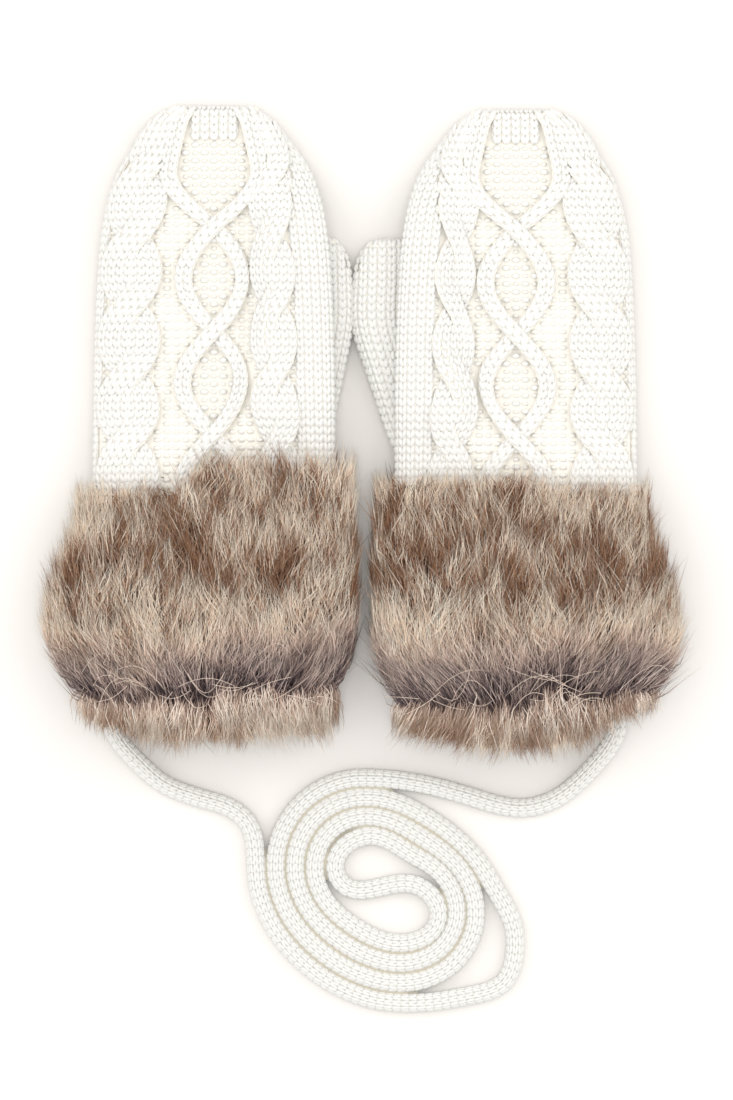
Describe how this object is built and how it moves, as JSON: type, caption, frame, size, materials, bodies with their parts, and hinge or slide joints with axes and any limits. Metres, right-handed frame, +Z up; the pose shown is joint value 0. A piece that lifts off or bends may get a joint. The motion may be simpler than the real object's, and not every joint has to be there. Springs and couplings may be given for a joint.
{
  "type": "pair of fur-cuffed knitted mittens on a cord",
  "caption": "Cable-knitted mittens with deep fur cuffs, sewn to the ends of one long knitted cord, lying flat with the cord coiled below them.",
  "frame": {"origin": "under the middle of the pair, on the surface that it lies on", "axes": "+Z up from the palms to the backs of the hands, +Y towards the fingertips, +X towards the mitten whose thumb points to -X"},
  "size_m": [0.2814, 0.3979, 0.0471],
  "materials": {
    "knit": "thick soft matte yarn, knitted in cables and moss stitch",
    "fur": "long soft faux fur on a fabric backing, brown with beige tips",
    "cord": "matte knitted tube cord"
  },
  "bodies": {
    "root": {"left_hand": "knit", "left_thumb": "knit", "left_cuff": "fur", "right_hand": "knit", "right_thumb": "knit", "right_cuff": "fur", "cord_left": "cord", "cord_right": "cord", "cord_coil": "cord"}
  },
  "joints": []
}
